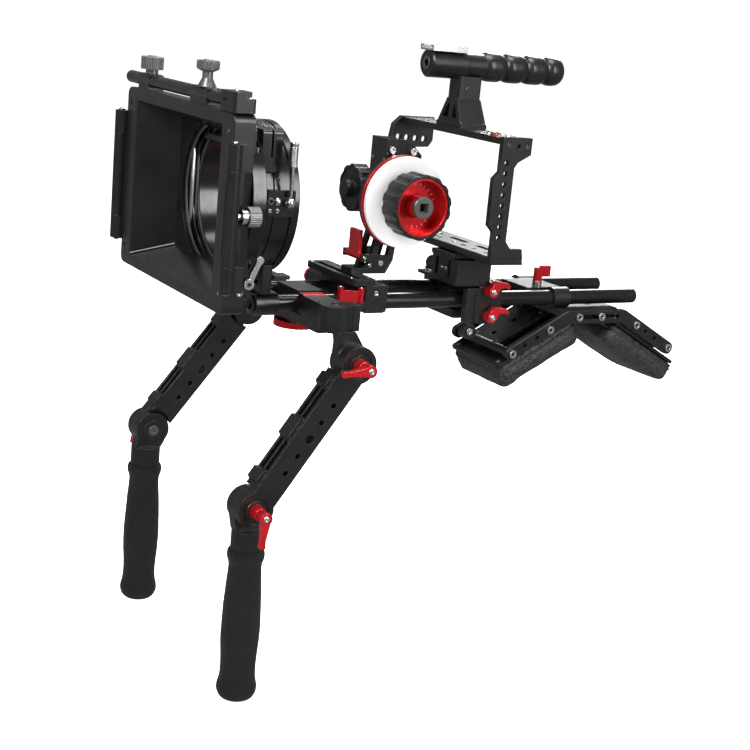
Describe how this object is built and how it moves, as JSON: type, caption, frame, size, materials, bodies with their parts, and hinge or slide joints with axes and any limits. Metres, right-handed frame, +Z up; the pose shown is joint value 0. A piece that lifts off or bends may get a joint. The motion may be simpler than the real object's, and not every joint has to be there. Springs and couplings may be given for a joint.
{
  "type": "shoulder camera rig",
  "caption": "Shoulder camera rig: rods carry a matte box, follow focus, camera cage with top handle, jointed foam-grip handles, clamp levers and a padded shoulder support",
  "frame": {"origin": "centre of the mouth of the tripod thread in the underside of the base", "axes": "+X to the rig's left side (follow-focus wheel side), -Y to the front (matte box), +Z up; rods run along Y"},
  "size_m": [0.291, 0.566, 0.5696],
  "materials": {
    "black_anodised": "satin",
    "hood_black": "matte",
    "red_anodised": "satin",
    "steel": "satin",
    "knurled_nickel": "satin",
    "white_plastic": "matte",
    "black_rubber": "matte",
    "grip_foam": "matte",
    "pad_leather": "matte"
  },
  "bodies": {
    "base": {"rods": "black_anodised", "handle_bracket": "black_anodised", "rod_jaws": "red_anodised", "handle_clamps": "black_anodised", "focus_base": "black_anodised", "rod_clamp_base": "black_anodised", "tripod_base": "black_anodised", "riser_box": "black_anodised"},
    "matte_box": {"matte_hood": "hood_black", "lens_stage": "black_anodised", "matte_support": "black_anodised", "flag_hinge_blocks": "black_anodised", "flag_bar": "black_anodised", "flag_bar_mounts": "black_anodised"},
    "tray": {"filter_tray": "black_anodised"},
    "lens_ring": {"rear_ring": "black_anodised"},
    "ring_lock": {"ring_lever": "steel"},
    "flag_left": {"flag_pin_left": "black_anodised"},
    "flag_right": {"flag_pin_right": "black_anodised"},
    "bar_knob_left": {"flag_knob_left": "knurled_nickel"},
    "bar_knob_right": {"flag_knob_right": "knurled_nickel"},
    "thumbscrew": {"side_thumbscrew": "knurled_nickel"},
    "hood_lock": {"hood_lever": "steel"},
    "bracket_wheel": {"clamp_wheel": "red_anodised"},
    "arm_l": {"arm_left": "black_anodised"},
    "arm_r": {"arm_right": "black_anodised"},
    "arm_lock_l": {"arm_lever_left": "red_anodised"},
    "arm_lock_r": {"arm_lever_right": "red_anodised"},
    "wrist_lock_l": {"wrist_lever_left": "red_anodised"},
    "wrist_lock_r": {"wrist_lever_right": "red_anodised"},
    "grip_l": {"grip_core_left": "black_anodised", "grip_foam_left": "grip_foam"},
    "grip_r": {"grip_core_right": "black_anodised", "grip_foam_right": "grip_foam"},
    "side_knob": {"clamp_knob": "black_rubber"},
    "cam_lever": {"thumb_lever": "red_anodised"},
    "focus_unit": {"swing_arm": "black_anodised", "focus_gearbox_body": "black_anodised", "index_ring": "red_anodised"},
    "focus_lock": {"arm_lock_lever": "red_anodised"},
    "disc": {"marking_disc": "white_plastic"},
    "wheel": {"hand_wheel": "black_rubber", "wheel_dish": "red_anodised", "wheel_socket": "black_anodised"},
    "gear": {"drive_gear": "black_anodised", "gear_knob": "black_rubber"},
    "rod_lock": {"rod_lever": "red_anodised"},
    "post_lock": {"post_lever": "red_anodised"},
    "plate_knob": {"base_knob": "black_anodised"},
    "cage": {"cage_floor": "black_anodised", "cage_side_left": "black_anodised", "cage_frame": "black_anodised", "top_handle": "black_anodised", "cold_shoe": "steel"},
    "shoulder": {"shoulder_mount": "black_anodised", "shoulder_bars": "black_anodised", "bar_screws": "steel", "pad_plates": "black_anodised", "shoulder_pads": "pad_leather"},
    "shoulder_lock": {"shoulder_lever": "red_anodised"}
  },
  "joints": [
    {"name": "matte_box_on_rods", "type": "slide", "parent": "base", "child": "matte_box", "axis": [0, 1, 0], "range_m": [0, 0.012]},
    {"name": "tray_lift", "type": "slide", "parent": "matte_box", "child": "tray", "axis": [0, 0, 1], "range_m": [0, 0.13]},
    {"name": "lens_ring_turn", "type": "hinge", "parent": "matte_box", "child": "lens_ring", "pos_m": [0, -0.228, 0.111], "axis": [0, 1, 0], "range_deg": [0, 30]},
    {"name": "ring_lock_swing", "type": "hinge", "parent": "matte_box", "child": "ring_lock", "pos_m": [0.0775, -0.232, 0.116], "axis": [1, 0, 0], "range_deg": [-60, 18]},
    {"name": "flag_left_swing", "type": "hinge", "parent": "matte_box", "child": "flag_left", "pos_m": [0.127, -0.308, 0.11], "axis": [0, 0, 1], "range_deg": [-90, 90]},
    {"name": "flag_right_swing", "type": "hinge", "parent": "matte_box", "child": "flag_right", "pos_m": [-0.127, -0.308, 0.11], "axis": [0, 0, 1], "range_deg": [-90, 90]},
    {"name": "bar_knob_left_turn", "type": "hinge", "parent": "matte_box", "child": "bar_knob_left", "pos_m": [0.046, -0.3, 0.215], "axis": [0, 0, 1], "continuous": true},
    {"name": "bar_knob_right_turn", "type": "hinge", "parent": "matte_box", "child": "bar_knob_right", "pos_m": [-0.078, -0.3, 0.215], "axis": [0, 0, 1], "continuous": true},
    {"name": "thumbscrew_turn", "type": "hinge", "parent": "matte_box", "child": "thumbscrew", "pos_m": [0.113, -0.288, 0.11], "axis": [0, 1, 0], "continuous": true},
    {"name": "hood_lock_swing", "type": "hinge", "parent": "matte_box", "child": "hood_lock", "pos_m": [0.125, -0.2886, 0.058], "axis": [1, 0, 0], "range_deg": [-60, 20]},
    {"name": "bracket_wheel_turn", "type": "hinge", "parent": "base", "child": "bracket_wheel", "pos_m": [0, -0.1785, -0.005], "axis": [0, 0, 1], "continuous": true},
    {"name": "arm_left_swing", "type": "hinge", "parent": "base", "child": "arm_l", "pos_m": [0.112, -0.1777, -0.0147], "axis": [1, 0, 0], "range_deg": [-25, 60]},
    {"name": "arm_lock_left_turn", "type": "hinge", "parent": "arm_l", "child": "arm_lock_l", "pos_m": [0.13, -0.1777, -0.0147], "axis": [1, 0, 0], "range_deg": [-90, 90]},
    {"name": "wrist_lock_left_turn", "type": "hinge", "parent": "arm_l", "child": "wrist_lock_l", "pos_m": [0.13, -0.26533, -0.13755], "axis": [1, 0, 0], "range_deg": [-90, 90]},
    {"name": "grip_left_swing", "type": "hinge", "parent": "arm_l", "child": "grip_l", "pos_m": [0.112, -0.26533, -0.13755], "axis": [1, 0, 0], "range_deg": [-50, 50]},
    {"name": "arm_right_swing", "type": "hinge", "parent": "base", "child": "arm_r", "pos_m": [-0.112, -0.1777, -0.0147], "axis": [1, 0, 0], "range_deg": [-25, 60]},
    {"name": "arm_lock_right_turn", "type": "hinge", "parent": "arm_r", "child": "arm_lock_r", "pos_m": [-0.13, -0.1777, -0.0147], "axis": [1, 0, 0], "range_deg": [-90, 90]},
    {"name": "wrist_lock_right_turn", "type": "hinge", "parent": "arm_r", "child": "wrist_lock_r", "pos_m": [-0.13, -0.27133, -0.13304], "axis": [1, 0, 0], "range_deg": [-90, 90]},
    {"name": "grip_right_swing", "type": "hinge", "parent": "arm_r", "child": "grip_r", "pos_m": [-0.112, -0.27133, -0.13304], "axis": [1, 0, 0], "range_deg": [-50, 50]},
    {"name": "side_knob_turn", "type": "hinge", "parent": "base", "child": "side_knob", "pos_m": [-0.06, -0.1225, 0.0218], "axis": [1, 0, 0], "continuous": true},
    {"name": "cam_lever_flip", "type": "hinge", "parent": "base", "child": "cam_lever", "pos_m": [0.0464, -0.138, 0.029], "axis": [0, 0, 1], "range_deg": [0, 70]},
    {"name": "focus_unit_slide", "type": "slide", "parent": "base", "child": "focus_unit", "axis": [1, 0, 0], "range_m": [-0.012, 0.008]},
    {"name": "focus_lock_flip", "type": "hinge", "parent": "focus_unit", "child": "focus_lock", "pos_m": [0, -0.122, 0.058], "axis": [1, 0, 0], "range_deg": [0, 80]},
    {"name": "disc_turn", "type": "hinge", "parent": "focus_unit", "child": "disc", "pos_m": [0.032, -0.093, 0.112], "axis": [1, 0, 0], "continuous": true},
    {"name": "hand_wheel_turn", "type": "hinge", "parent": "focus_unit", "child": "wheel", "pos_m": [0.05, -0.093, 0.112], "axis": [1, 0, 0], "continuous": true},
    {"name": "drive_gear_turn", "type": "hinge", "parent": "focus_unit", "child": "gear", "pos_m": [0, -0.128, 0.12], "axis": [0, 1, 0], "continuous": true},
    {"name": "rod_lock_turn", "type": "hinge", "parent": "base", "child": "rod_lock", "pos_m": [0.055, -0.0018, 0.0322], "axis": [1, 0, 0], "range_deg": [-10, 90]},
    {"name": "post_lock_turn", "type": "hinge", "parent": "base", "child": "post_lock", "pos_m": [0.055, -0.0005, 0.0076], "axis": [1, 0, 0], "range_deg": [-60, 10]},
    {"name": "plate_knob_turn", "type": "hinge", "parent": "base", "child": "plate_knob", "pos_m": [-0.002, -0.032, 0.049], "axis": [1, 0, 0], "continuous": true},
    {"name": "cage_on_plate", "type": "slide", "parent": "base", "child": "cage", "axis": [0, 1, 0], "range_m": [0, 0.015]},
    {"name": "shoulder_on_rods", "type": "slide", "parent": "base", "child": "shoulder", "axis": [0, 1, 0], "range_m": [-0.02, 0.05]},
    {"name": "shoulder_lock_turn", "type": "hinge", "parent": "shoulder", "child": "shoulder_lock", "pos_m": [0.008, 0.085, 0.03], "axis": [0, 0, 1], "range_deg": [-90, 90]}
  ],
  "couplings": [
    {"joint": "drive_gear_turn", "follows": "hand_wheel_turn", "ratio": 1}
  ]
}
